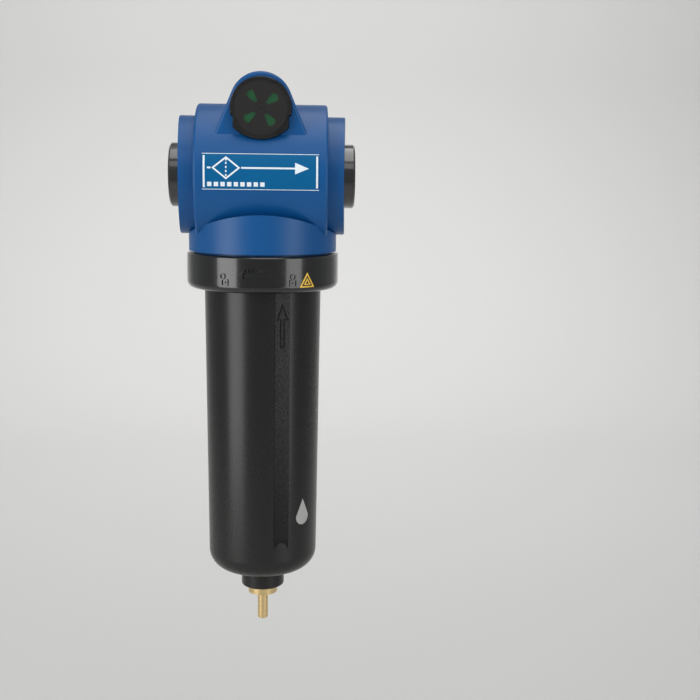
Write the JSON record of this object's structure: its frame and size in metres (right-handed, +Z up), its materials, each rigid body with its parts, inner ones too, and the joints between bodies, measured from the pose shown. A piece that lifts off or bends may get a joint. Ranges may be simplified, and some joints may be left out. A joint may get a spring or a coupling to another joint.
{
  "type": "compressed air filter",
  "caption": "In-line compressed air filter: cast head with threaded ports, bowl locked by a coupling ring, plug-in element, pressure indicator and float drain.",
  "frame": {"origin": "on the bowl's axis, at the tip of the drain outlet, the object's lowest point", "axes": "+Z up along the bowl's axis; the port axis is along X, inlet at -X and outlet at +X; the pressure indicator faces -Y"},
  "size_m": [0.135, 0.1128, 0.417],
  "materials": {
    "blue_powder_coat": "satin powder coat",
    "black_enamel": "glossy enamel",
    "black_plastic": "moulded, semi-gloss",
    "matt_black_plastic": "moulded, satin",
    "smoked_lens": "smoked, polished",
    "green_signal": "bright",
    "red_signal": "bright",
    "label_film": "printed film",
    "caution_film": "printed film",
    "silver_film": "printed film",
    "brass": "turned",
    "seal_rubber": "matt",
    "spring_steel": "drawn wire",
    "magnet": "plated",
    "expanded_steel": "expanded sheet",
    "white_media": "pleated fleece",
    "float_plastic": "moulded",
    "zinc_nut": "plated"
  },
  "bodies": {
    "head": {"head_casting": "blue_powder_coat", "inlet_port_adapter": "black_enamel", "outlet_port_adapter": "black_enamel", "inlet_port_o_ring": "seal_rubber", "outlet_port_o_ring": "seal_rubber", "name_plate": "label_film", "indicator_housing": "black_plastic", "indicator_o_ring": "seal_rubber", "indicator_lens": "smoked_lens", "indicator_mask": "matt_black_plastic", "indicator_spring": "spring_steel"},
    "indicator_rotor": {"indicator_rotor": "red_signal", "indicator_rotor_fans": "green_signal"},
    "indicator_piston": {"indicator_piston": "matt_black_plastic", "indicator_magnet": "magnet"},
    "bowl": {"bowl_casting": "black_enamel", "bowl_o_ring": "seal_rubber", "droplet_label": "silver_film", "drain_body": "brass", "drain_seal": "seal_rubber", "drain_lock_nut": "zinc_nut"},
    "coupling": {"coupling_ring": "black_enamel", "caution_label": "caution_film"},
    "drain_stem": {"drain_stem": "brass", "drain_stem_o_ring": "seal_rubber"},
    "float": {"float": "float_plastic", "valve_plunger": "seal_rubber"},
    "element": {"nozzle_plate": "matt_black_plastic", "nozzle_o_ring_in": "seal_rubber", "nozzle_o_ring_out": "seal_rubber", "red_tab": "red_signal", "feed_duct": "matt_black_plastic", "spacer_pillars": "matt_black_plastic", "top_cap": "matt_black_plastic", "bottom_cap": "matt_black_plastic", "mesh_sleeve": "expanded_steel", "pleated_media": "white_media", "inner_core": "expanded_steel"}
  },
  "joints": [
    {"name": "bowl_drop", "type": "slide", "parent": "head", "child": "bowl", "axis": [0, 0, -1], "range_m": [0, 0.25]},
    {"name": "coupling_turn", "type": "hinge", "parent": "bowl", "child": "coupling", "pos_m": [0, 0, 0.273], "axis": [0, 0, 1], "range_deg": [0, 50]},
    {"name": "element_pull", "type": "slide", "parent": "head", "child": "element", "axis": [0, 0, -1], "range_m": [0, 0.016]},
    {"name": "indicator_travel", "type": "slide", "parent": "head", "child": "indicator_piston", "axis": [0, 1, 0], "range_m": [0, 0.003], "stiffness_N_per_m": 400, "springref_m": -0.001, "deforming": ["indicator_spring"]},
    {"name": "indicator_swing", "type": "hinge", "parent": "head", "child": "indicator_rotor", "pos_m": [0, -0.043, 0.3917], "axis": [0, -1, 0], "range_deg": [0, 45]},
    {"name": "drain_turn", "type": "hinge", "parent": "bowl", "child": "drain_stem", "pos_m": [0, 0, 0.02], "axis": [0, 0, 1], "range_deg": [0, 180]},
    {"name": "float_rise", "type": "slide", "parent": "bowl", "child": "float", "axis": [0, 0, 1], "range_m": [0, 0.003]}
  ],
  "couplings": [
    {"joint": "indicator_swing", "follows": "indicator_travel", "rad_per_m": 261.77}
  ]
}
